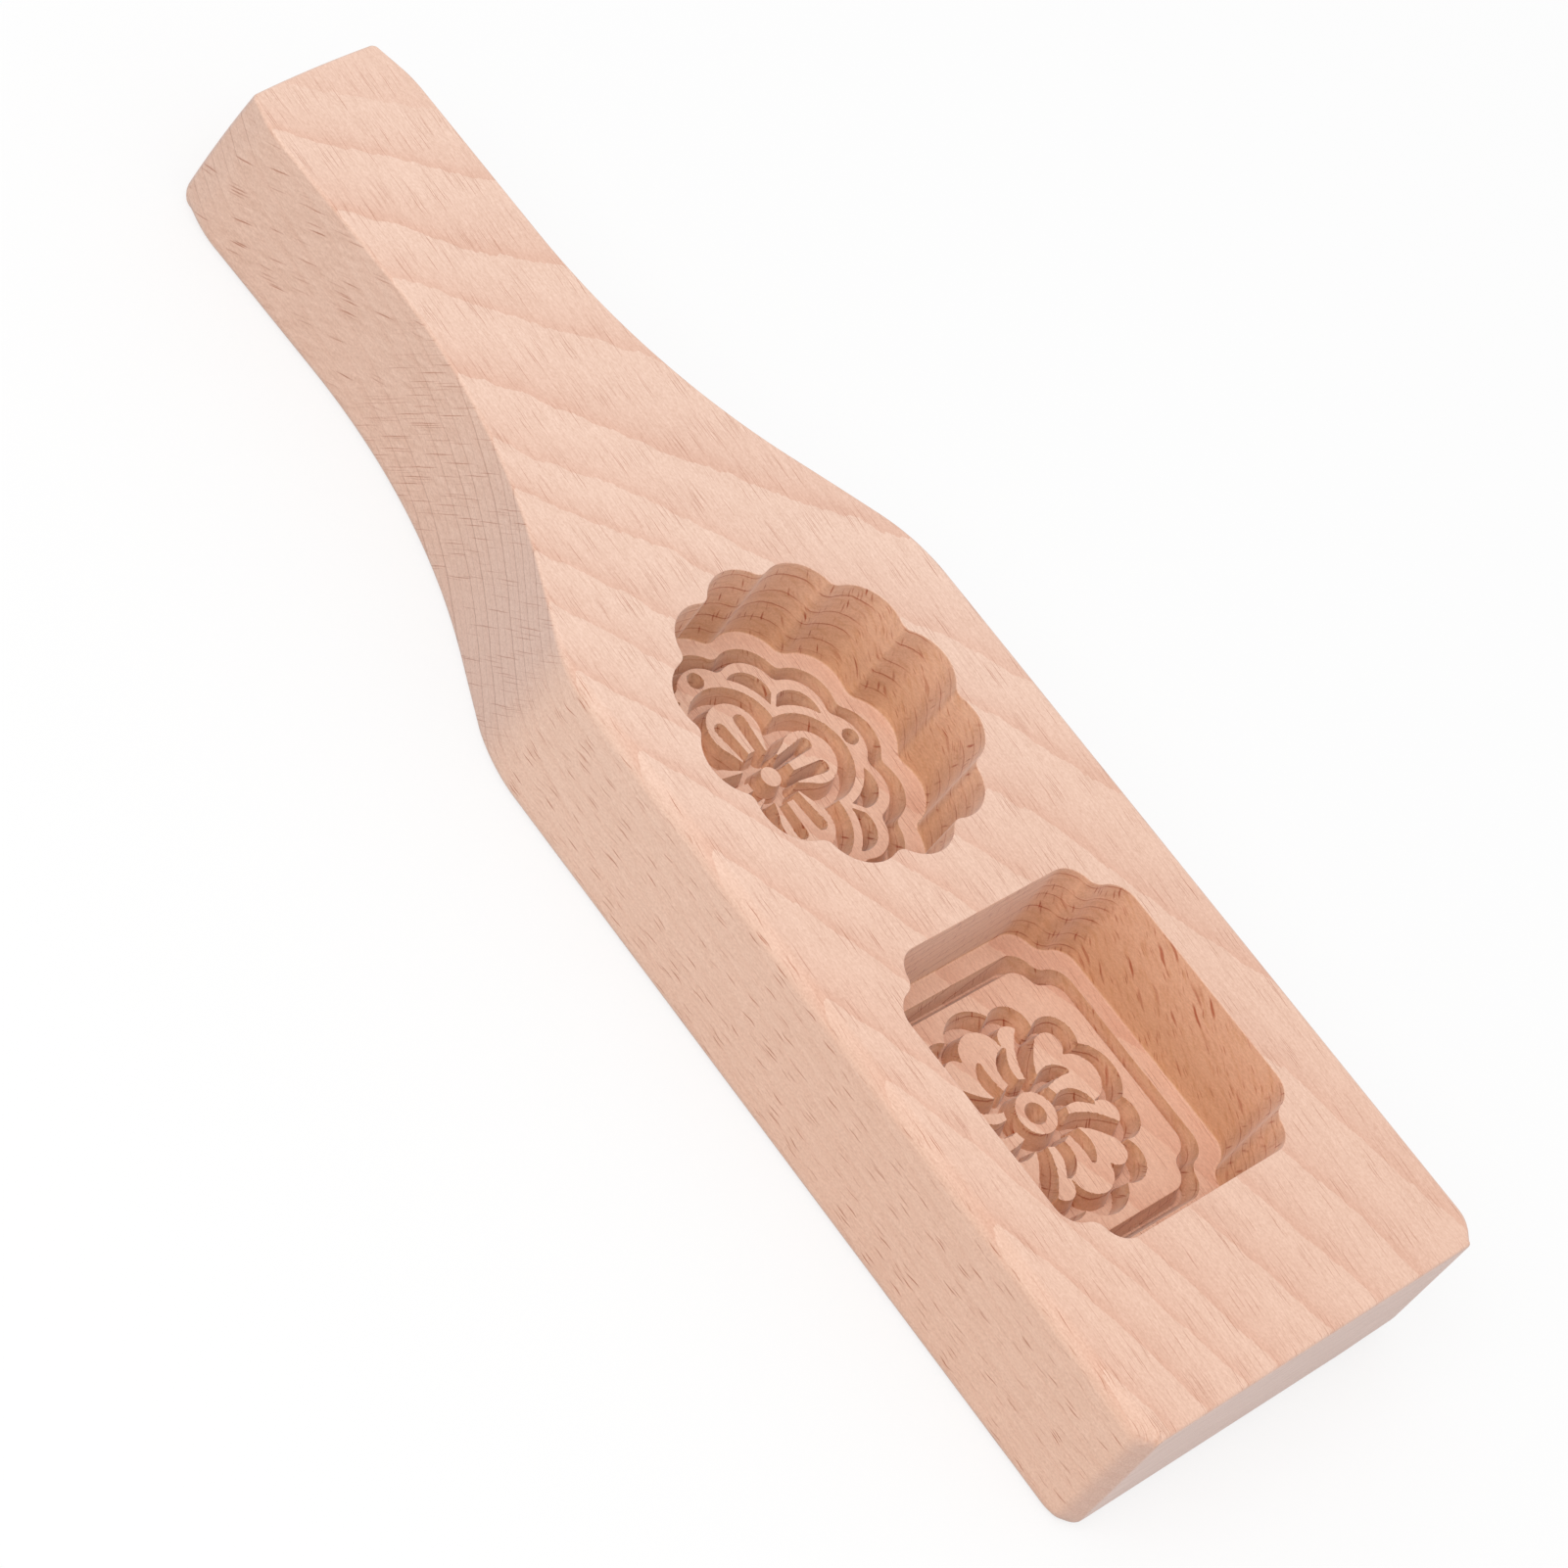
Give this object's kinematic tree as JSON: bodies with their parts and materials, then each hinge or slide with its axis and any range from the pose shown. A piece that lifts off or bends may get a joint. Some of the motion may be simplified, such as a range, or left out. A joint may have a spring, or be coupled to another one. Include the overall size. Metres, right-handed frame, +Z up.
{
  "type": "mooncake_mold",
  "caption": "Wooden mooncake mold: a beech paddle with a lobed round cavity and a notched square cavity, each carved with a flower",
  "frame": {"origin": "Middle of the board's bounding box in plan, on the flat face that it rests on", "axes": "+X runs along the length from the handle to the blade's end, +Y across the board, +Z up out of the carved face"},
  "size_m": [0.2128, 0.0696, 0.0225],
  "materials": {
    "beech": "matte"
  },
  "bodies": {
    "root": {"mold_board": "beech"}
  },
  "joints": []
}
